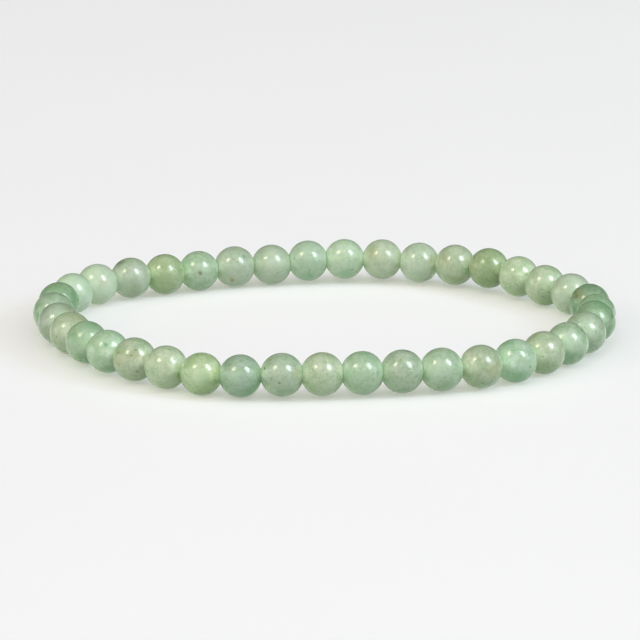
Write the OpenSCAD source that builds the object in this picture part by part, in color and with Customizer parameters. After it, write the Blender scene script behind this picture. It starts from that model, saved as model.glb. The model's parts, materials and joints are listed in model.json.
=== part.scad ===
// A stretch bracelet: round polished stone beads, drilled through and threaded on one closed elastic cord.
// It lies on a table as a soft string of beads does, in a loop that is a little wider than it is deep and
// not quite even. Millimetres, +Z up, front of the loop towards -Y, origin on the table under its middle.

/* [Beads] */
// Diameter of a bead
bead_d = 5; // [4:0.1:8]
// Beads on the string
bead_count = 39; // [36:1:45]
// Length of a bead along its hole, as a share of its diameter, because both drilled ends are ground flat
length_share = 0.9; // [0.84:0.01:0.94]
// Diameter of the drilled hole
hole_d = 1; // [1:0.05:1.3]
// Gap between two beads where their rims come closest, on the inner side of a bend
rim_gap = 0.05; // [0.03:0.01:0.2]

/* [Cord] */
// Diameter of the elastic cord, which runs freely through the holes
cord_d = 0.7; // [0.4:0.05:0.7]
// Sides of the cord's cross-section
cord_sides = 10; // [8:1:12]

/* [Hidden] */
// The way the string runs, in degrees from +X, at some beads of a string of LIE_COUNT, and how far the bead
// is raised off the table there, in hundredths of its diameter. In between, both change evenly.
LIE_COUNT = 39;
//      bead, heading, raised
LIE = [
    [ 1, -72, 2],
    [ 3, -60, 4],
    [ 5, -42, 4],
    [ 7, -24, 0],
    [ 9,   3, 6],
    [13,  11, 4],
    [15,  39, 0],
    [17,  55, 2],
    [19,  78, 6],
    [21, 102, 0],
    [22, 125, 0],
    [23, 134, 2],
    [24, 129, 6],
    [25, 146, 10],
    [26, 155, 6],
    [27, 164, 4],
    [28, 174, 8],
    [29, 185, 9],
    [30, 187, 7],
    [31, 189, 1],
    [33, 203, 0],
    [35, 205, 2],
    [37, 245, 0],
    [40, 288, 2]];

// Beads that are plainly larger or smaller than the rest, in hundredths of the bead diameter
//      bead, size
ODD_SIZES = [[5, 101], [7, 98], [8, 98], [15, 101], [20, 94], [21, 98], [26, 101], [30, 101], [32, 102],
    [33, 99], [37, 99]];

// Tones of the stone, and the beads that have each
//      tone, colour, beads
TONES = [
    ["mint", "#a4c8a4", [4, 11, 13, 17, 29, 33, 39]],
    ["aqua", "#a6c6b8", [8, 15, 30, 37]],
    ["sage", "#a9b894", [2, 5, 6, 10, 14, 16, 23, 24, 26, 28]],
    ["leaf", "#94a86c", [7, 25, 34]],
    ["moss", "#7d9f76", [3, 19, 20, 21, 38]],
    ["grey", "#aab8a4", [1, 9, 12, 18, 22, 27, 31, 32, 35, 36]]];
CORD_COLOUR = "#f2f2ee";

// Segments of a full turn, on a bead and in its hole
BEAD_FN = 72;
HOLE_FN = 36;

FULL_TURN = 360;
BEADS = [1 : bead_count];

function bead_name(i) = str("bead_", i < 10 ? "0" : "", i);
function next(i) = i == bead_count ? 1 : i + 1;
function previous(i) = i == 1 ? bead_count : i - 1;
function unit(v) = v / norm(v);

// The string's heading and a bead's size and place come from the tables above
function lie_column(c) = [for (row = LIE) [row[0], row[c]]];
function lie_place(i) = 1 + (i - 1) * LIE_COUNT / bead_count;
function heading(i) = lookup(lie_place(i), lie_column(1));
function raised(i) = lookup(lie_place(i), lie_column(2)) / 100 * bead_d;
function odd_size(i) = [for (row = ODD_SIZES) if (row[0] == i) row[1]];
function bead_r(i) = bead_d / 2 * (len(odd_size(i)) > 0 ? odd_size(i)[0] / 100 : 1);
function tone(i) =
    let (listed = (i - 1) % LIE_COUNT + 1)
    [for (row = TONES) if (len(search(listed, row[2])) > 0) row[1]][0];

// From one bead to the next: with each turned by half of the bend, the rims of their flats just clear
function flat_r(r) = r * sqrt(1 - length_share * length_share);
function half_step(r, bend) = r * length_share * cos(bend / 2) + flat_r(r) * sin(bend / 2);
function step(i) =
    let (bend = abs(heading(i + 1) - heading(i)))
    half_step(bead_r(i), bend) + half_step(bead_r(next(i)), bend) + rim_gap;
function step_way(i) = let (a = (heading(i) + heading(i + 1)) / 2) [cos(a), sin(a)];

// The beads' centres: the steps one after the other, what is left at the end shared out to close the loop,
// and the loop set with its middle over the origin and its beads on the table
STRUNG = [for (i = 1, p = [0, 0]; i <= bead_count + 1; p = p + step(i) * step_way(i), i = i + 1) p];
SHARED = STRUNG[bead_count] / bead_count;
LOOP = [for (i = BEADS) STRUNG[i - 1] - (i - 1) * SHARED];
LOW = [for (k = [0, 1]) min([for (i = BEADS) LOOP[i - 1][k] - bead_r(i)])];
HIGH = [for (k = [0, 1]) max([for (i = BEADS) LOOP[i - 1][k] + bead_r(i)])];
CENTRES = [for (i = BEADS) let (p = LOOP[i - 1] - (LOW + HIGH) / 2) [p.x, p.y, bead_r(i) + raised(i)]];
function centre(i) = CENTRES[i - 1];

// A bead's hole runs along the string's heading, and tips with the heights of its two neighbours
function slope(i) =
    (centre(next(i)).z - centre(previous(i)).z) / norm(centre(next(i)) - centre(previous(i)));
AXES = [for (i = BEADS) unit([cos(heading(i)), sin(heading(i)), slope(i)])];
function axis(i) = AXES[i - 1];

// Half of a bead's length. It is cut back where the string bends so much that its rim would reach over its
// share of the way to neighbour n.
function rim_limit(i, n) =
    let (r = bead_r(i),
         way = centre(n) - centre(i),
         share = (norm(way) - rim_gap) * r / (r + bead_r(n)),
         lean = acos(min(1, abs(unit(way) * axis(i)))))
    r * cos(lean + acos(min(1, share / r)));
HALF_LENGTHS = [for (i = BEADS) min(bead_r(i) * length_share, rim_limit(i, next(i)), rim_limit(i, previous(i)))];
function half_length(i) = HALF_LENGTHS[i - 1];

// The cord bends only between the beads, halfway from one drilled end to the next
JOINTS = [for (i = BEADS)
    (centre(i) + half_length(i) * axis(i) + centre(next(i)) - half_length(next(i)) * axis(next(i))) / 2];
function joint(i) = JOINTS[i - 1];

// Turns what is made along +Z to lie along the unit vector v
module along(v) {
    rotate([0, acos(v.z), atan2(v.y, v.x)]) children();
}

module bead(i) {
    color(tone(i)) translate(centre(i)) along(axis(i)) difference() {
        intersection() {
            sphere(r = bead_r(i), $fn = BEAD_FN);
            cylinder(r = bead_d, h = 2 * half_length(i), center = true, $fn = BEAD_FN);
        }
        cylinder(d = hole_d, h = 2 * bead_d, center = true, $fn = HOLE_FN);
    }
}

// One closed tube with a mitred ring at each joint
module elastic_cord() {
    rings = [for (i = BEADS)
        let (before = unit(joint(i) - joint(previous(i))),
             after = unit(joint(next(i)) - joint(i)),
             t = unit(before + after),
             out = unit([t.y, -t.x, 0]) / (t * after),
             up = unit(cross(out, t)))
        [for (s = [0 : cord_sides - 1]) let (a = FULL_TURN * s / cord_sides)
            joint(i) + cord_d / 2 * (cos(a) * out + sin(a) * up)]];
    points = [for (ring = rings) each ring];
    faces = [for (i = BEADS) for (s = [0 : cord_sides - 1])
        let (a = (i - 1) * cord_sides, b = (next(i) - 1) * cord_sides, t = (s + 1) % cord_sides)
        each [[a + s, a + t, b + t], [a + s, b + t, b + s]]];
    color(CORD_COLOUR) polyhedron(points = points, faces = faces);
}

for (i = BEADS) bead(i);
elastic_cord();
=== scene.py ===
"""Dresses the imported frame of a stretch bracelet: polished green aventurine beads on a clear elastic cord.

The frame gives each bead's place, size and drilled way. The beads are made here again with rounded rims and
their own stone, the cord is made again round, and the stage has the floor, the lamps and the camera.
"""

import json
import math
from collections import namedtuple

import bpy
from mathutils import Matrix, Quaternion, Vector


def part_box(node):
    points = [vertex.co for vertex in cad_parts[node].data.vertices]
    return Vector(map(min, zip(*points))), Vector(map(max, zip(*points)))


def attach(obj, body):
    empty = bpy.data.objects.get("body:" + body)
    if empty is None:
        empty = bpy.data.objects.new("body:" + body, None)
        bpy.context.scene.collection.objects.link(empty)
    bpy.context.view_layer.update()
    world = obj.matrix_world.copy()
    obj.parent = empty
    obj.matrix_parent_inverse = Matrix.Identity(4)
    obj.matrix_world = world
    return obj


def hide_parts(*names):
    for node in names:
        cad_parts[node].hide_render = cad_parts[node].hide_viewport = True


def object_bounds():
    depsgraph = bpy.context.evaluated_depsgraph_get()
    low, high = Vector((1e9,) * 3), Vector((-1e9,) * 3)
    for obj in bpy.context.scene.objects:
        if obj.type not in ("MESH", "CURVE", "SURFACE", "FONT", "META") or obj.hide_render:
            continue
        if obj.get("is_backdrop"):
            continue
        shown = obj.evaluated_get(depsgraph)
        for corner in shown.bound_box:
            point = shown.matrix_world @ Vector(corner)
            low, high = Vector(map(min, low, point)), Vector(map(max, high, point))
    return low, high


bl_info = {
    "name": "Beaded Bracelet",
    "version": (1, 0, 0),
    "blender": (4, 5, 0),
    "location": "3D View > Sidebar > Bracelet",
    "description": "Makes the beads, the elastic and the stage of a stretch bracelet",
    "category": "Object",
}

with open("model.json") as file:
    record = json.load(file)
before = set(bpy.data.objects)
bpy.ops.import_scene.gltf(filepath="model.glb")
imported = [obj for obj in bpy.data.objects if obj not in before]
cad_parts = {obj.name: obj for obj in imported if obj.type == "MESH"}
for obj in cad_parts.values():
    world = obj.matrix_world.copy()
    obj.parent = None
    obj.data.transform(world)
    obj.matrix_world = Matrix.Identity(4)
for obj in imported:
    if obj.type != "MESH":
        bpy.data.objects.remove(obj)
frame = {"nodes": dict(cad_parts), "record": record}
CORD_NODE = "elastic_cord"
BEAD_NODES = sorted(name for name in frame["nodes"] if name != CORD_NODE)
SLOT_OF = {part["node"]: part["material_slot"] for part in frame["record"]["subparts"]}

MM = 0.001
# Points closer than this are in the same place
FINE = 0.001 * MM
UP = Vector((0, 0, 1))

# A bead of the string: its middle, radius, the way its hole runs, half of its length along the hole, and the
# nodes of the beads before and after it
Bead = namedtuple("Bead", "middle radius way half before after")

# The point that the camera looks at, how far it looks down, and its ways to the right, up and back
LOOKS_AT = Vector((-0.498 * MM, 0, 2.111 * MM))
LOOKS_DOWN = math.radians(15.7)
VIEW = (
    Vector((1, 0, 0)),
    Vector((0, math.sin(LOOKS_DOWN), math.cos(LOOKS_DOWN))),
    Vector((0, -math.cos(LOOKS_DOWN), math.sin(LOOKS_DOWN))),
)


def linear(hex_colour):
    """The linear colour of an sRGB hex value such as "#a4c8a4"."""
    shares = [int(hex_colour[i:i + 2], 16) / 255 for i in (1, 3, 5)]
    return tuple(s / 12.92 if s <= 0.04045 else ((s + 0.055) / 1.055) ** 2.4 for s in shares)


def repeats_every(size):
    """The scale of a pattern on Object coordinates that repeats about every size metres."""
    return 1 / size


# What the stone does to a tone's red, green and blue: with less quartz and with more, and painted light that
# makes it paler towards the drilled ends
DEEP = (1.05, 1.105, 1.045)
MILKY = (1.33, 1.265, 1.345)
PAINTED_END_LIGHT = (1.35, 1.33, 1.4)

# The stone's other colours: of the fine mottling, of the painted shade on the underside, of a mica fleck and
# of the polish
MOTTLING = "#e2eede"
PAINTED_UNDERSIDE_SHADE = "#bfd2c1"
FLECK = "#5c7450"
POLISH = "#dcebd6"

QUARTZ_IOR = 1.54

# How far the outlines of large and of small finds wander, as a share of the bead's radius, and the size from
# which a find counts as large
WANDER = 0.5
JITTER = 0.12
LARGE = 0.15

# What share of the spots that may have a mica fleck has one in the most flecked stone
MOST_FLECKED = 0.35

# The polished surface's faint waves, from one to the next and how deep
WAVE = 1.1 * MM
WAVE_DEPTH = 0.004 * MM

# What a stone holds: its colour, how much of the stone it hides, and how soft its edge is, as a share of its
# size. The haze is quartz so fine that it veils a whole stone, so its size is more than the bead's.
FINDS = {
    "iron": ("#6a5436", 0.65, 1.2),
    "mica": ("#52644a", 0.55, 1.2),
    "jade": ("#4f9a74", 0.6, 1.4),
    "rust": ("#b3a374", 0.36, 1.7),
    # Deep green and yellow-green patches of the stone; near its top and bottom edges they are painted shade
    "emerald_and_shade": ("#62a67a", 0.32, 1.6),
    "olive_and_shade": ("#8fa468", 0.32, 1.7),
    # Milky quartz, and partly painted light: the pale glow of light that passes through the stone
    "milk_and_painted_light": ("#dde1db", 0.45, 1.7),
    "haze": ("#e8dfe4", 0.2, 0.2),
}

# Each stone, as the photograph shows it: how pale (+) or deep (-) it is within its tone, how many fine flecks
# it has, both in hundredths, and what it holds: kind, then across, up and size as the camera sees them, in
# hundredths of the bead's radius.
# The deep green and yellow-green finds near the top and bottom edges of many stones, and at the rims of stone
# 38, are painted shade: the deeper green a stone shows where less light reaches it. Elsewhere they are its
# own patches. The milky finds are partly painted light, the pale glow of light that passes through the stone.
STONES = {
    1: (-13, 0, [("milk_and_painted_light", 10, 30, 50), ("rust", 40, 70, 20)]),
    2: (-2, 10, [("rust", 32, 70, 42), ("iron", -62, -18, 4)]),
    3: (7, 0, [("haze", 0, 0, 250), ("emerald_and_shade", 30, 86, 42), ("emerald_and_shade", -5, -84, 40),
               ("emerald_and_shade", -60, 20, 24)]),
    4: (17, 10, [("jade", -2, 30, 8), ("emerald_and_shade", -47, 10, 10), ("jade", 50, 26, 6),
                ("emerald_and_shade", 22, -92, 42)]),
    5: (-2, 15, [("iron", 10, 42, 5), ("iron", -10, 18, 5), ("iron", 17, -55, 5), ("iron", -71, 29, 7),
                 ("rust", -70, 5, 34), ("mica", -68, -23, 3), ("rust", 5, 25, 25)]),
    6: (8, 10, [("mica", 16, 83, 5), ("mica", 71, 60, 5), ("iron", 57, -32, 5), ("olive_and_shade", 62, -42, 26)]),
    7: (15, 10, [("olive_and_shade", 30, -70, 45), ("mica", -18, -56, 3), ("milk_and_painted_light", -20, -5, 35)]),
    8: (-17, 25, [("mica", -66, -50, 7), ("mica", -58, -36, 3), ("emerald_and_shade", 45, -75, 45), ("mica", 0, 70, 4),
                ("milk_and_painted_light", -30, 10, 35)]),
    9: (-3, 35, [("mica", -45, -13, 4), ("iron", -10, -36, 5), ("iron", -78, 30, 7), ("mica", 58, 72, 4),
                 ("rust", 72, 8, 28), ("mica", 20, 80, 3)]),
    10: (2, 45, [("mica", -76, 30, 4), ("mica", 22, 2, 3), ("mica", -12, -16, 3), ("olive_and_shade", -55, -70, 26)]),
    11: (7, 10, [("mica", -35, 6, 3), ("mica", 47, -2, 4), ("emerald_and_shade", -70, 0, 26), ("emerald_and_shade", 20, 84, 34)]),
    12: (-4, 100, [("iron", 25, 91, 6), ("olive_and_shade", -2, 60, 8), ("mica", -43, 68, 4), ("mica", 52, 19, 3),
                   ("iron", -57, -27, 3), ("mica", 61, -22, 5), ("mica", 32, 12, 4)]),
    13: (3, 15, [("mica", 14, -35, 3), ("olive_and_shade", -86, -26, 26), ("milk_and_painted_light", -20, 8, 40)]),
    14: (-5, 10, [("rust", 60, -10, 30), ("olive_and_shade", -40, -86, 34)]),
    15: (4, 10, [("mica", 64, -28, 5), ("mica", 46, -55, 5), ("emerald_and_shade", 5, -85, 46),
                 ("emerald_and_shade", -30, 86, 30)]),
    16: (-2, 25, [("mica", 38, 4, 3), ("mica", -10, -18, 4), ("olive_and_shade", 0, -80, 50), ("olive_and_shade", -40, 84, 22)]),
    17: (3, 20, [("emerald_and_shade", -9, -80, 46), ("mica", -44, 8, 4), ("milk_and_painted_light", 0, 15, 40)]),
    18: (-6, 60, [("mica", 59, 29, 4), ("mica", 45, 6, 5), ("mica", 42, 0, 3), ("milk_and_painted_light", 5, 45, 45)]),
    19: (-6, 20, [("mica", 80, 23, 8), ("mica", 0, 60, 5), ("emerald_and_shade", 30, 85, 30)]),
    20: (0, 10, []),
    21: (-19, 10, [("iron", -70, 36, 11), ("iron", -72, 56, 9), ("rust", -62, 46, 30),
                   ("emerald_and_shade", -74, -19, 34)]),
    22: (6, 10, [("haze", 0, 0, 250), ("milk_and_painted_light", 0, 20, 60)]),
    23: (7, 15, [("milk_and_painted_light", 10, 20, 40), ("olive_and_shade", -10, -80, 40)]),
    24: (16, 10, [("olive_and_shade", 0, -86, 36)]),
    25: (-5, 40, [("olive_and_shade", 0, 32, 38), ("rust", -80, 10, 26), ("olive_and_shade", 0, -74, 46)]),
    26: (1, 20, [("olive_and_shade", 0, -80, 40), ("rust", -60, 20, 26)]),
    27: (10, 60, [("haze", 0, 0, 250), ("rust", 55, 10, 26)]),
    28: (3, 20, [("haze", 0, 0, 250), ("rust", -50, 30, 30)]),
    29: (21, 10, [("haze", 0, 0, 250), ("emerald_and_shade", 10, -80, 36)]),
    30: (-1, 10, [("haze", 0, 0, 250), ("emerald_and_shade", 0, -80, 36)]),
    31: (-4, 15, [("haze", 0, 0, 250), ("milk_and_painted_light", 10, 20, 50)]),
    32: (-3, 20, [("haze", 0, 0, 250), ("jade", 47, 49, 11), ("iron", -12, -68, 11), ("rust", -10, -60, 16)]),
    33: (9, 20, [("iron", 10, -14, 9), ("emerald_and_shade", -60, 40, 26)]),
    34: (2, 20, [("olive_and_shade", 0, -60, 56), ("olive_and_shade", -6, 44, 26)]),
    35: (-5, 20, [("haze", 0, 0, 250), ("mica", -58, 72, 32), ("olive_and_shade", -8, 94, 36), ("olive_and_shade", 30, -70, 34)]),
    36: (18, 10, [("haze", 0, 0, 250), ("haze", 0, 0, 250), ("milk_and_painted_light", -10, 20, 110),
                  ("rust", 40, 20, 20)]),
    37: (17, 0, [("haze", 0, 0, 250), ("haze", 0, 0, 250), ("milk_and_painted_light", 0, 10, 100)]),
    38: (-4, 10, [("olive_and_shade", 0, 92, 34), ("emerald_and_shade", 84, 6, 36), ("emerald_and_shade", -88, 10, 30),
                  ("emerald_and_shade", 0, 20, 50)]),
    39: (-4, 0, [("emerald_and_shade", -70, -10, 34)]),
}

# The model bead: rings from pole to pole for each segment around it, cuts along its hole, which is bent when
# the bead is seated, faces across a rounded edge, and the angle from which an edge stays sharp
RINGS_PER_SEGMENT = 0.6
HOLE_CUTS = 9
ROUNDING = 3
SHARP = math.radians(50)

# Where the cord's line is set in each bead, as shares of half of the bead's length, how many steps it takes
# from one such point to the next, and how round it is
CORD_POINTS = (-0.9, -0.45, 0, 0.45, 0.9)
CORD_STEPS = 2
CORD_ROUNDNESS = 5

# The room: the way that its light comes from, with the cosines of the angles to it between which the light
# grows, and the same for the two walls that only the gloss shows
ROOM_WAY = (0.18, -0.69, 0.7)
ROOM_GROWS = (-0.12, 1)
LEFT_WALL = (-1, 0, 0)
RIGHT_WALL = (0.85, -0.42, 0.32)
WALL_GROWS = (0.88, 0.98)

# How far off each lamp is and how wide the floor is, in metres, and the width of the camera's sensor
LAMP_AWAY = 2
FLOOR_WIDTH = 6
SENSOR_MM = 36


class StoneSettings(bpy.types.PropertyGroup):
    """Colours and grain of the stone"""

    # The tones are greyer than a bead looks, because the mottling, the painted shade on the underside and the
    # light's way through the stone all make it greener
    mint: bpy.props.FloatVectorProperty(
        name="Mint", description="Clear mint green stone", subtype="COLOR", default=linear("#b5bab4"))
    aqua: bpy.props.FloatVectorProperty(
        name="Aqua", description="Bluish mint green stone", subtype="COLOR", default=linear("#b9c1bd"))
    sage: bpy.props.FloatVectorProperty(
        name="Sage", description="Yellowish sage green stone", subtype="COLOR", default=linear("#c2bfb8"))
    leaf: bpy.props.FloatVectorProperty(
        name="Leaf", description="Yellow to olive green stone", subtype="COLOR", default=linear("#b6b7a4"))
    moss: bpy.props.FloatVectorProperty(
        name="Moss", description="Deeper green stone", subtype="COLOR", default=linear("#a0af9e"))
    grey: bpy.props.FloatVectorProperty(
        name="Grey", description="Pale greyish green stone", subtype="COLOR", default=linear("#bdbdba"))
    depth: bpy.props.FloatProperty(
        name="Light depth", description="How far light wanders inside the stone", subtype="DISTANCE",
        unit="LENGTH", default=1.2 * MM)
    cloud: bpy.props.FloatProperty(
        name="Cloud size", description="Width of the cloudy patches", subtype="DISTANCE", unit="LENGTH",
        default=1.7 * MM)
    grain: bpy.props.FloatProperty(
        name="Grain size", description="Width of the fine mottling", subtype="DISTANCE", unit="LENGTH",
        default=0.42 * MM)
    fleck: bpy.props.FloatProperty(
        name="Fleck spacing", description="From one fine mica fleck to the next", subtype="DISTANCE",
        unit="LENGTH", default=0.3 * MM)


class BeadSettings(bpy.types.PropertyGroup):
    """Shape of a bead beyond what the frame gives"""

    seat: bpy.props.FloatProperty(
        name="Seat", description="How far each drilled end stays short of where it would touch its neighbour",
        subtype="DISTANCE", unit="LENGTH", default=0.006 * MM)
    rim: bpy.props.FloatProperty(
        name="Rim rounding", description="Rounding where the ball meets the flat drilled end",
        subtype="DISTANCE", unit="LENGTH", default=0.03 * MM)
    mouth: bpy.props.FloatProperty(
        name="Hole rounding", description="Rounding at the mouth of the drilled hole",
        subtype="DISTANCE", unit="LENGTH", default=0.03 * MM)
    hole: bpy.props.FloatProperty(
        name="Hole", description="Diameter of the drilled hole", subtype="DISTANCE", unit="LENGTH",
        default=1.0 * MM)
    segments: bpy.props.IntProperty(
        name="Segments", description="Faces around a bead", default=80, min=24, max=128)


class CordSettings(bpy.types.PropertyGroup):
    """The elastic cord"""

    thickness: bpy.props.FloatProperty(
        name="Thickness", description="Diameter of the cord", subtype="DISTANCE", unit="LENGTH",
        default=0.7 * MM)


class StageSettings(bpy.types.PropertyGroup):
    """Floor, lamps and camera"""

    floor: bpy.props.FloatVectorProperty(
        name="Floor", description="Colour of the floor", subtype="COLOR", default=linear("#edeaec"))
    warm: bpy.props.FloatVectorProperty(
        name="Warm softbox", description="Colour of the softbox on the left, which only the gloss shows",
        subtype="COLOR", default=linear("#fff1da"))
    warm_from: bpy.props.FloatVectorProperty(
        name="Warm softbox from", description="Way from the bracelet to the softbox on the left",
        subtype="DIRECTION", default=(-0.55, -0.41, 0.73))
    warm_power: bpy.props.FloatProperty(
        name="Warm softbox power", description="Power of the softbox on the left", subtype="POWER",
        unit="POWER", default=10.5)
    cool: bpy.props.FloatVectorProperty(
        name="Cool softbox", description="Colour of the softbox on the right, which only the gloss shows",
        subtype="COLOR", default=linear("#e6ecfa"))
    cool_from: bpy.props.FloatVectorProperty(
        name="Cool softbox from", description="Way from the bracelet to the softbox on the right",
        subtype="DIRECTION", default=(0.56, -0.44, 0.70))
    cool_power: bpy.props.FloatProperty(
        name="Cool softbox power", description="Power of the softbox on the right", subtype="POWER",
        unit="POWER", default=24)
    left_side: bpy.props.FloatVectorProperty(
        name="Left side lamp", description="Colour of the shadow-casting lamp on the left", subtype="COLOR",
        default=linear("#ffe6bc"))
    left_side_power: bpy.props.FloatProperty(
        name="Left side power", description="Power of the shadow-casting lamp on the left", subtype="POWER",
        unit="POWER", default=3.5)
    right_side: bpy.props.FloatVectorProperty(
        name="Right side lamp", description="Colour of the shadow-casting lamp on the right", subtype="COLOR",
        default=linear("#bce0ff"))
    right_side_power: bpy.props.FloatProperty(
        name="Right side power", description="Power of the shadow-casting lamp on the right", subtype="POWER",
        unit="POWER", default=10.5)
    fill: bpy.props.FloatVectorProperty(
        name="Fill lamps", description="Colour of the two lamps that cast no shadow", subtype="COLOR",
        default=linear("#fbfff2"))
    fill_power: bpy.props.FloatProperty(
        name="Fill power", description="Power of each of the two fill lamps", subtype="POWER", unit="POWER",
        default=18)
    front_light: bpy.props.FloatProperty(
        name="Front light", description="Strength of the room's light from the front", default=1.25)
    back_light: bpy.props.FloatProperty(
        name="Back light", description="Strength of the room's light from behind", default=0.17)
    left_light: bpy.props.FloatProperty(
        name="Left wall", description="Strength of the white wall on the left in the gloss", default=2.4)
    right_light: bpy.props.FloatProperty(
        name="Right wall", description="Strength of the white wall on the right in the gloss", default=1.6)
    elevation: bpy.props.FloatProperty(
        name="Camera elevation", description="How far the camera looks down", subtype="ANGLE",
        unit="ROTATION", default=LOOKS_DOWN)
    roll: bpy.props.FloatProperty(
        name="Camera roll", description="How far the camera is turned about its line of sight",
        subtype="ANGLE", unit="ROTATION", default=math.radians(-0.22))
    distance: bpy.props.FloatProperty(
        name="Camera distance", description="From the camera to what it looks at", subtype="DISTANCE",
        unit="LENGTH", default=473.2 * MM)
    lens: bpy.props.FloatProperty(
        name="Lens", description="Focal length on a sensor 36 mm wide", subtype="DISTANCE_CAMERA",
        unit="CAMERA", default=222.5)


def alone(obj):
    """Deselects everything, then selects obj and makes it the active object."""
    bpy.ops.object.select_all(action="DESELECT")
    obj.select_set(True)
    bpy.context.view_layer.objects.active = obj
    return obj


def deselect_mesh(mesh):
    """In object mode, deselects all of a mesh's points, edges and faces."""
    for part in (mesh.vertices, mesh.edges, mesh.polygons):
        part.foreach_set("select", [False] * len(part))


def select_faces(mesh, wanted):
    """In object mode, selects the faces that wanted(face) is true for, and nothing else."""
    deselect_mesh(mesh)
    for face in mesh.polygons:
        face.select = wanted(face)


def select_edges(mesh, wanted):
    """In object mode, selects the edges whose two ends wanted(a, b) is true for, and nothing else."""
    deselect_mesh(mesh)
    for edge in mesh.edges:
        edge.select = wanted(*(mesh.vertices[i].co for i in edge.vertices))


def read_bead(node):
    """Reads a bead from its CAD mesh. Its hole runs counter-clockwise round the loop, seen from above."""
    low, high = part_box(node)
    middle = (low + high) / 2
    mesh = frame["nodes"][node].data
    # Of all the faces that point the same way, those of a ground flat cover the most
    flats = {}
    for face in mesh.polygons:
        flats.setdefault(tuple(round(x, 2) for x in face.normal), []).append(face)
    flat = max(flats.values(), key=lambda faces: sum(face.area for face in faces))
    way = sum((face.normal * face.area for face in flat), Vector()).normalized()
    if UP.cross(middle).dot(way) < 0:
        way.negate()
    radius = max((v.co - middle).length for v in mesh.vertices)
    half = max((v.co - middle).dot(way) for v in mesh.vertices)
    index = BEAD_NODES.index(node)
    before, after = BEAD_NODES[index - 1], BEAD_NODES[(index + 1) % len(BEAD_NODES)]
    return Bead(middle, radius, way, half, before, after)


def node_in(tree, kind, inputs=(), **settings):
    """Adds a node of that kind with its settings. inputs gives each socket a value, or an output to link."""
    node = tree.nodes.new(kind)
    for name, value in settings.items():
        setattr(node, name, value)
    for name, value in dict(inputs).items():
        if isinstance(value, bpy.types.NodeSocket):
            tree.links.new(value, node.inputs[name])
        else:
            node.inputs[name].default_value = value
    return node


def new_material(name):
    """A material with an empty node tree, and its tree."""
    material = bpy.data.materials.new(name)
    material.use_nodes = True
    material.node_tree.nodes.clear()
    return material, material.node_tree


def rgba(colour, shares=(1, 1, 1)):
    """A colour with alpha, with its red, green and blue each taken by its share."""
    return (*(c * share for c, share in zip(colour, shares)), 1)


def seen_at(bead, across, up):
    """The point on a bead that the camera sees there, in hundredths of its radius from its middle."""
    right, over, back = VIEW
    across, up = across / 100, up / 100
    out = math.sqrt(max(0, 1 - across ** 2 - up ** 2))
    return bead.middle + bead.radius * (across * right + up * over + out * back)


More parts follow.
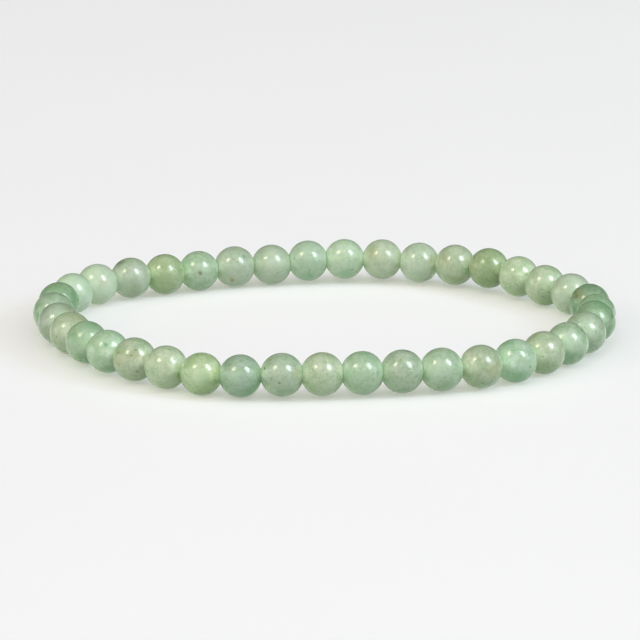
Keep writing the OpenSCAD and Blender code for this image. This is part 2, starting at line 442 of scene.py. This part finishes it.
def aventurine(name, bead, look, tone, stone):
    """Green aventurine: quartz, cloudy and translucent, with fine green mica, tumbled to a wet gloss.

    The clouds are quartz with more or less mica in it. Flecks are single flakes, and are drawn a little
    larger than the real ones so that they show. The colour also holds painted shade, on the underside and at
    some rims, and painted light, near the drilled ends and in the milky patches.
    """
    shade, flecks, finds = look
    deep, milky = ([share * (1 + shade / 100) for share in shares] for shares in (DEEP, MILKY))
    material, tree = new_material(name)
    place = node_in(tree, "ShaderNodeTexCoord").outputs["Object"]

    clouds = node_in(tree, "ShaderNodeTexNoise", {
        "Vector": place, "Scale": repeats_every(stone.cloud), "Detail": 4, "Roughness": 0.62,
        "Distortion": 0.9})
    cloudy = node_in(tree, "ShaderNodeMapRange", {
        "Value": clouds.outputs["Fac"], "From Min": 0.36, "From Max": 0.64}, interpolation_type="SMOOTHSTEP")
    body = node_in(tree, "ShaderNodeMix", {
        "Factor": cloudy.outputs["Result"], "A": rgba(tone, deep), "B": rgba(tone, milky)}, data_type="RGBA")
    grain = node_in(tree, "ShaderNodeTexNoise", {
        "Vector": place, "Scale": repeats_every(stone.grain), "Detail": 3, "Roughness": 0.75})
    grainy = node_in(tree, "ShaderNodeMapRange", {
        "Value": grain.outputs["Fac"], "From Min": 0.4, "From Max": 0.62})
    body = node_in(tree, "ShaderNodeMix", {
        "Factor": grainy.outputs["Result"], "A": body.outputs["Result"], "B": rgba(linear(MOTTLING))},
        data_type="RGBA", blend_type="MULTIPLY")

    # Painted shade: towards its underside each bead is painted deeper and greener, where less light reaches
    # it
    own = node_in(tree, "ShaderNodeVectorMath", {0: place, 1: bead.middle}, operation="SUBTRACT")
    height = node_in(tree, "ShaderNodeSeparateXYZ", {0: own.outputs["Vector"]})
    painted_underside_shade = node_in(tree, "ShaderNodeMapRange", {
        "Value": height.outputs["Z"], "From Min": 0.35 * bead.radius, "From Max": -0.95 * bead.radius})
    body = node_in(tree, "ShaderNodeMix", {
        "Factor": painted_underside_shade.outputs["Result"], "A": body.outputs["Result"], "B": rgba(linear(PAINTED_UNDERSIDE_SHADE))},
        data_type="RGBA", blend_type="MULTIPLY")

    # Painted light: towards its drilled ends the stone's top half is painted paler, standing in for the light
    # that falls on the hole and the ground flats from above and shows through the stone
    along = node_in(tree, "ShaderNodeVectorMath", {
        0: own.outputs["Vector"], 1: bead.way / bead.radius}, operation="DOT_PRODUCT")
    endwise = node_in(tree, "ShaderNodeMath", {0: along.outputs["Value"]}, operation="ABSOLUTE")
    painted_light_near_ends = node_in(tree, "ShaderNodeMapRange", {
        "Value": endwise.outputs["Value"], "From Min": 0.5, "From Max": 0.92},
        interpolation_type="SMOOTHSTEP")
    painted_light_from_above = node_in(tree, "ShaderNodeMapRange", {
        "Value": height.outputs["Z"], "From Min": -0.2 * bead.radius, "From Max": 0.15 * bead.radius,
        "To Max": painted_light_near_ends.outputs["Result"]}, interpolation_type="SMOOTHSTEP")
    body = node_in(tree, "ShaderNodeMix", {
        "Factor": painted_light_from_above.outputs["Result"], "A": body.outputs["Result"], "B": rgba(PAINTED_END_LIGHT)},
        data_type="RGBA", blend_type="MULTIPLY")

    # The outlines of large finds wander as the clouds do, and those of small ones as the grain does
    stray = node_in(tree, "ShaderNodeVectorMath", {
        0: clouds.outputs["Color"], 1: (-0.5, -0.5, -0.5)}, operation="ADD")
    wander = node_in(tree, "ShaderNodeVectorMath", {
        0: stray.outputs["Vector"], 1: [WANDER * bead.radius] * 3, 2: place}, operation="MULTIPLY_ADD")
    jump = node_in(tree, "ShaderNodeVectorMath", {
        0: grain.outputs["Color"], 1: (-0.5, -0.5, -0.5)}, operation="ADD")
    jitter = node_in(tree, "ShaderNodeVectorMath", {
        0: jump.outputs["Vector"], 1: [JITTER * bead.radius] * 3, 2: place}, operation="MULTIPLY_ADD")
    # Each find is mixed into the colour; some of them are painted shade and some painted light
    for kind, across, up, size in finds:
        colour, cover, softness = FINDS[kind]
        size = size / 100 * bead.radius
        outline = wander if size > LARGE * bead.radius else jitter
        away = node_in(tree, "ShaderNodeVectorMath", {
            0: outline.outputs["Vector"], 1: seen_at(bead, across, up)}, operation="DISTANCE")
        near = node_in(tree, "ShaderNodeMapRange", {
            "Value": away.outputs["Value"], "From Min": size * (1 + softness / 2),
            "From Max": max(0, size * (1 - softness / 2)), "To Max": cover}, interpolation_type="SMOOTHSTEP")
        body = node_in(tree, "ShaderNodeMix", {
            "Factor": near.outputs["Result"], "A": body.outputs["Result"], "B": rgba(linear(colour))},
            data_type="RGBA")

    # Fine flecks: the middles of some of the cells of a pattern, picked by the cells' own colours
    cells = node_in(tree, "ShaderNodeTexVoronoi", {"Vector": place, "Scale": repeats_every(stone.fleck)})
    flake = node_in(tree, "ShaderNodeMapRange", {
        "Value": cells.outputs["Distance"], "From Min": 0.36, "From Max": 0.1, "To Max": 0.6})
    chance = node_in(tree, "ShaderNodeMath", {
        0: cells.outputs["Color"], 1: 1 - MOST_FLECKED * flecks / 100}, operation="GREATER_THAN")
    flaky = node_in(tree, "ShaderNodeMath", {
        0: flake.outputs["Result"], 1: chance.outputs["Value"]}, operation="MULTIPLY")
    body = node_in(tree, "ShaderNodeMix", {
        "Factor": flaky.outputs["Value"], "A": body.outputs["Result"], "B": rgba(linear(FLECK))},
        data_type="RGBA")

    # Tumbling leaves the ball faintly wavy. Most light is scattered in the stone and a quarter passes through
    # it. The coat is its polish, over a ground that is a little rougher where the quartz is milky.
    waves = node_in(tree, "ShaderNodeTexNoise", {"Vector": place, "Scale": repeats_every(WAVE)})
    wavy = node_in(tree, "ShaderNodeBump", {
        "Height": waves.outputs["Fac"], "Strength": 1.0, "Distance": WAVE_DEPTH})
    polish = node_in(tree, "ShaderNodeMapRange", {
        "Value": clouds.outputs["Fac"], "To Min": 0.24, "To Max": 0.34})
    shine = node_in(tree, "ShaderNodeBsdfPrincipled", {
        "Base Color": body.outputs["Result"],
        "Roughness": polish.outputs["Result"],
        "IOR": QUARTZ_IOR,
        "Normal": wavy.outputs["Normal"],
        "Transmission Weight": 0.25,
        "Subsurface Weight": 1.0,
        "Subsurface Radius": (0.85, 1.0, 0.8),
        "Subsurface Scale": stone.depth,
        "Specular IOR Level": 0.12,
        "Coat Weight": 1.0,
        "Coat Roughness": 0.18,
        "Coat IOR": QUARTZ_IOR,
        "Coat Tint": rgba(linear(POLISH)),
        "Coat Normal": wavy.outputs["Normal"],
    })
    node_in(tree, "ShaderNodeOutputMaterial", {"Surface": shine.outputs["BSDF"]})
    return material


def clear_elastic():
    """Clear polyurethane stretch cord, drawn round. Faintly milky; its green is painted light from the stone
    around it.
    """
    material, tree = new_material("clear_elastic")
    place = node_in(tree, "ShaderNodeTexCoord").outputs["Object"]
    streaks = node_in(tree, "ShaderNodeTexNoise", {
        "Vector": place, "Scale": repeats_every(0.5 * MM), "Detail": 2})
    # Painted light: the cord is coloured green for the green light of the stone that it runs through
    milk_and_painted_light = node_in(tree, "ShaderNodeMix", {
        "Factor": streaks.outputs["Fac"], "A": rgba(linear("#aebfa4")), "B": rgba(linear("#9aae90"))},
        data_type="RGBA")
    shine = node_in(tree, "ShaderNodeBsdfPrincipled", {
        "Base Color": milk_and_painted_light.outputs["Result"], "Roughness": 0.35, "IOR": 1.5,
        "Subsurface Weight": 0.6, "Subsurface Radius": (1, 1, 1), "Subsurface Scale": 0.3 * MM})
    node_in(tree, "ShaderNodeOutputMaterial", {"Surface": shine.outputs["BSDF"]})
    return material


def pale_sheet(colour):
    """A photographer's white acrylic sheet, barely uneven in tone, with a faint sheen."""
    material, tree = new_material("pale_sheet")
    place = node_in(tree, "ShaderNodeTexCoord").outputs["Object"]
    tooth = node_in(tree, "ShaderNodeTexNoise", {"Vector": place, "Scale": repeats_every(30 * MM)})
    tone = node_in(tree, "ShaderNodeMix", {
        "Factor": tooth.outputs["Fac"], "A": rgba(colour), "B": rgba(colour, (0.985, 0.985, 0.985))},
        data_type="RGBA")
    shine = node_in(tree, "ShaderNodeBsdfPrincipled", {
        "Base Color": tone.outputs["Result"], "Roughness": 0.5, "Specular IOR Level": 0.3})
    node_in(tree, "ShaderNodeOutputMaterial", {"Surface": shine.outputs["BSDF"]})
    return material


def studio_light(stage):
    """A dim room whose soft light comes from above and in front.

    A white wall on each side shows only in the gloss, and the camera itself sees a pale backdrop.
    """
    world = bpy.data.worlds.new("studio")
    world.use_nodes = True
    tree = world.node_tree
    tree.nodes.clear()
    path = node_in(tree, "ShaderNodeLightPath")
    way = node_in(tree, "ShaderNodeTexCoord").outputs["Generated"]
    front = node_in(tree, "ShaderNodeVectorMath", {0: way, 1: ROOM_WAY}, operation="DOT_PRODUCT")
    strength = node_in(tree, "ShaderNodeMapRange", {
        "Value": front.outputs["Value"], "From Min": ROOM_GROWS[0], "From Max": ROOM_GROWS[1],
        "To Min": stage.back_light, "To Max": stage.front_light}, interpolation_type="SMOOTHSTEP")
    strength = strength.outputs["Result"]
    for wall, wall_light in ((LEFT_WALL, stage.left_light), (RIGHT_WALL, stage.right_light)):
        towards = node_in(tree, "ShaderNodeVectorMath", {0: way, 1: wall}, operation="DOT_PRODUCT")
        mirrored = node_in(tree, "ShaderNodeMath", {
            0: path.outputs["Is Glossy Ray"], 1: wall_light}, operation="MULTIPLY")
        lit = node_in(tree, "ShaderNodeMapRange", {
            "Value": towards.outputs["Value"], "From Min": WALL_GROWS[0], "From Max": WALL_GROWS[1],
            "To Max": mirrored.outputs["Value"]}, interpolation_type="SMOOTHSTEP")
        strength = node_in(tree, "ShaderNodeMath", {0: strength, 1: lit.outputs["Result"]}).outputs["Value"]
    room = node_in(tree, "ShaderNodeBackground", {"Strength": strength})
    backdrop = node_in(tree, "ShaderNodeBackground", {"Color": rgba(stage.floor)})
    both = node_in(tree, "ShaderNodeMixShader", {
        0: path.outputs["Is Camera Ray"], 1: room.outputs[0], 2: backdrop.outputs[0]})
    node_in(tree, "ShaderNodeOutputWorld", {"Surface": both.outputs[0]})
    return world


def model_bead(shape):
    """The model bead with its middle at the origin and its hole along Z, which the others are copied from."""
    bpy.ops.object.select_all(action="DESELECT")
    bpy.ops.mesh.primitive_uv_sphere_add(
        segments=shape.segments, ring_count=round(shape.segments * RINGS_PER_SEGMENT), radius=MODEL.radius,
        location=(0, 0, 0))
    bead = bpy.context.object
    mesh = bead.data
    flat, bore = MODEL.half, shape.hole / 2
    rim = math.sqrt(MODEL.radius ** 2 - flat ** 2)

    # Both drilled ends are ground flat
    for end in (1, -1):
        bpy.ops.object.mode_set(mode="EDIT")
        bpy.ops.mesh.select_all(action="SELECT")
        bpy.ops.mesh.bisect(
            plane_co=(0, 0, end * flat), plane_no=(0, 0, end), use_fill=True, clear_outer=True,
            threshold=FINE)
        bpy.ops.object.mode_set(mode="OBJECT")

    # The hole: an inset face at each end, taken out, and the two rings bridged
    select_faces(mesh, lambda face: abs(face.center.z) > flat - FINE)
    bpy.ops.object.mode_set(mode="EDIT")
    bpy.ops.mesh.inset(thickness=rim - bore, use_individual=True)
    bpy.ops.mesh.delete(type="FACE")
    bpy.ops.object.mode_set(mode="OBJECT")

    def at_end(ends, inner):
        return all(abs(co.z) > flat - FINE and (co.xy.length < (bore + rim) / 2) == inner for co in ends)

    select_edges(mesh, lambda *ends: at_end(ends, inner=True))
    bpy.ops.object.mode_set(mode="EDIT")
    bpy.ops.mesh.bridge_edge_loops(number_cuts=HOLE_CUTS)
    bpy.ops.mesh.select_all(action="SELECT")
    bpy.ops.mesh.normals_make_consistent(inside=False)
    bpy.ops.object.mode_set(mode="OBJECT")

    # Tumbling has rounded the edge of the flat and the mouth of the hole
    for inner, width in ((False, shape.rim), (True, shape.mouth)):
        select_edges(mesh, lambda *ends: at_end(ends, inner))
        bpy.ops.object.mode_set(mode="EDIT")
        bpy.ops.mesh.bevel(offset=width, segments=ROUNDING, affect="EDGES")
        bpy.ops.object.mode_set(mode="OBJECT")
    alone(bead)
    bpy.ops.object.shade_smooth_by_angle(angle=SHARP)
    return bead


def seating(bead, shape):
    """Gives the function that takes a point of the model bead to its place in this bead.

    The ball keeps its roundness and the hole its width. Towards each end the stone turns to face its
    neighbour, and its flat moves to where the two balls meet, so the beads sit snugly on each other round
    the bends.
    """
    size = bead.radius / MODEL.radius
    flat, bore = MODEL.half * size, shape.hole / 2 * size
    upright = UP.rotation_difference(bead.way)
    ends = {}
    for end, other in ((1, bead.after), (-1, bead.before)):
        between = BEADS[other].middle - bead.middle
        shared = (between.length_squared + bead.radius ** 2 - BEADS[other].radius ** 2) / (2 * between.length)
        turn = (end * bead.way).rotation_difference(between)
        ends[end] = (shared - shape.seat) / flat, turn.axis, turn.angle

    def place(point):
        point = point * size
        stretch, axis, angle = ends[1 if point.z > 0 else -1]
        # The turn and the stretch set in gently from the middle, and are all there at the flat
        share = min(1, abs(point.z) / flat)
        share = share * share * (3 - 2 * share)
        z = point.z * (1 + share * (stretch - 1))
        reach = point.xy.length
        if reach > bore:
            room = [math.sqrt(bead.radius ** 2 - height ** 2) - bore for height in (point.z, z)]
            point = point * ((bore + (reach - bore) * room[1] / room[0]) / reach)
        point.z = z
        return bead.middle + Quaternion(axis, angle * share) @ (upright @ point)

    return place


# The beads of the string, and the one whose size the model bead has
BEADS = {node: read_bead(node) for node in BEAD_NODES}
MODEL = BEADS[BEAD_NODES[0]]


class BRACELET_OT_beads(bpy.types.Operator):
    """Makes each bead of the string in its own stone"""

    bl_idname = "bracelet.beads"
    bl_label = "Make Beads"

    def execute(self, context):
        shape, stone = context.scene.bracelet_bead, context.scene.bracelet_stone
        model = model_bead(shape)
        for node, bead in BEADS.items():
            alone(model)
            bpy.ops.object.duplicate(linked=False)
            piece = context.object
            piece.name = piece.data.name = node.replace("bead_", "stone_bead_")
            place = seating(bead, shape)
            for vertex in piece.data.vertices:
                vertex.co = place(vertex.co)
            tone = SLOT_OF[node].removeprefix("aventurine_")
            number = int(node.removeprefix("bead_"))
            name = f"aventurine_{tone}_{number:02d}"
            piece.data.materials.clear()
            piece.data.materials.append(
                aventurine(name, bead, STONES[number], getattr(stone, tone), stone))
            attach(piece, "root")
            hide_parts(node)
        bpy.data.objects.remove(model)
        return {"FINISHED"}


class BRACELET_OT_cord(bpy.types.Operator):
    """Makes the elastic cord, a closed loop through all the holes"""

    bl_idname = "bracelet.cord"
    bl_label = "Make Cord"

    def execute(self, context):
        line, shape = context.scene.bracelet_cord, context.scene.bracelet_bead
        points = []
        for bead in BEADS.values():
            place = seating(bead, shape)
            points += [place(Vector((0, 0, share * MODEL.half))) for share in CORD_POINTS]
        curve = bpy.data.curves.new("cord", "CURVE")
        curve.dimensions = "3D"
        curve.bevel_depth = line.thickness / 2
        curve.bevel_resolution = CORD_ROUNDNESS
        curve.resolution_u = CORD_STEPS
        path = curve.splines.new("BEZIER")
        path.bezier_points.add(len(points) - 1)
        for knot, point in zip(path.bezier_points, points):
            knot.co = point
            knot.handle_left_type = knot.handle_right_type = "AUTO"
        path.use_cyclic_u = True
        cord = bpy.data.objects.new("stretch_cord", curve)
        context.scene.collection.objects.link(cord)
        alone(cord)
        bpy.ops.object.convert(target="MESH")
        bpy.ops.object.shade_smooth()
        cord = context.object
        cord.data.materials.append(clear_elastic())
        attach(cord, "root")
        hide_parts(CORD_NODE)
        return {"FINISHED"}


class BRACELET_OT_stage(bpy.types.Operator):
    """Makes the floor, the lamps and the camera"""

    bl_idname = "bracelet.stage"
    bl_label = "Make Stage"

    def execute(self, context):
        stage = context.scene.bracelet_stage
        low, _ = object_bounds()
        bpy.ops.object.select_all(action="DESELECT")
        bpy.ops.mesh.primitive_plane_add(size=FLOOR_WIDTH, location=(0, 0, low[2]))
        floor = context.object
        floor.name = "floor"
        bpy.ops.object.transform_apply(location=True, rotation=True, scale=True)
        floor.data.materials.append(pale_sheet(stage.floor))
        floor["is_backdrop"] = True

        # The room gives the soft light and shadow. The two softboxes are small and far, and only the polished
        # stone shows them. The two side lamps give the shadows at the bracelet's ends their warm and cool
        # tints. The two fill lamps stand for the light that the translucent stone lets through to the floor
        # and to its neighbours, so they cast no shadow.
        for name, way, colour, power, width, height in (
            ("warm_gloss", stage.warm_from, stage.warm, stage.warm_power, 0.58, 0.7),
            ("cool_gloss", stage.cool_from, stage.cool, stage.cool_power, 0.72, 1.15),
            ("left_side", (-0.8, -0.2, 0.5), stage.left_side, stage.left_side_power, 0.5, 0.5),
            ("right_side", (0.8, -0.2, 0.5), stage.right_side, stage.right_side_power, 0.5, 0.5),
            ("left_fill", (-0.85, -0.45, 0.25), stage.fill, stage.fill_power, 1, 1),
            ("right_fill", (0.6, -0.3, 0.75), stage.fill, stage.fill_power, 1, 1),
        ):
            way = Vector(way)
            bpy.ops.object.light_add(type="AREA", location=LOOKS_AT + way.normalized() * LAMP_AWAY)
            lamp = context.object
            lamp.name = name
            lamp.rotation_euler = way.to_track_quat("Z", "Y").to_euler()
            lamp.data.shape = "ELLIPSE"
            lamp.data.size, lamp.data.size_y = width, height
            lamp.data.energy = power
            lamp.data.color = colour
            lamp.data.use_shadow = not name.endswith("fill")
            lamp.visible_glossy = name.endswith("gloss")
            lamp.visible_diffuse = not name.endswith("gloss")

        context.scene.world = studio_light(stage)

        back = Vector((0, -math.cos(stage.elevation), math.sin(stage.elevation)))
        bpy.ops.object.camera_add(
            location=LOOKS_AT + back * stage.distance,
            rotation=(math.pi / 2 - stage.elevation, 0, 0))
        camera = context.object
        camera.name = "camera"
        camera.rotation_euler.rotate_axis("Z", stage.roll)
        camera.data.sensor_width = SENSOR_MM
        camera.data.lens = stage.lens
        camera.data.clip_start = 0.01
        camera.data.dof.use_dof = False
        context.scene.camera = camera
        context.scene.view_settings.view_transform = "Standard"
        return {"FINISHED"}


class BRACELET_PT_panel(bpy.types.Panel):
    """The bracelet's makers and their settings"""

    bl_label = "Beaded Bracelet"
    bl_idname = "BRACELET_PT_panel"
    bl_space_type = "VIEW_3D"
    bl_region_type = "UI"
    bl_category = "Bracelet"

    def draw(self, context):
        for settings, operator in PANEL_ROWS:
            box = self.layout.box()
            group = getattr(context.scene, settings)
            for name in group.bl_rna.properties.keys():
                if name not in ("rna_type", "name"):
                    box.prop(group, name)
            box.operator(operator)


# The settings that the panel shows with each operator
PANEL_ROWS = (
    ("bracelet_stone", "bracelet.beads"),
    ("bracelet_bead", "bracelet.beads"),
    ("bracelet_cord", "bracelet.cord"),
    ("bracelet_stage", "bracelet.stage"),
)
SETTINGS = {
    "bracelet_stone": StoneSettings,
    "bracelet_bead": BeadSettings,
    "bracelet_cord": CordSettings,
    "bracelet_stage": StageSettings,
}
CLASSES = (
    *SETTINGS.values(), BRACELET_OT_beads, BRACELET_OT_cord, BRACELET_OT_stage, BRACELET_PT_panel)


def register():
    for cls in CLASSES:
        bpy.utils.register_class(cls)
    for name, group in SETTINGS.items():
        setattr(bpy.types.Scene, name, bpy.props.PointerProperty(type=group))


def unregister():
    for name in SETTINGS:
        delattr(bpy.types.Scene, name)
    for cls in reversed(CLASSES):
        bpy.utils.unregister_class(cls)


def main():
    register()
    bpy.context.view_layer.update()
    bpy.ops.bracelet.beads()
    bpy.ops.bracelet.cord()
    bpy.ops.bracelet.stage()


if __name__ == "__main__":
    main()
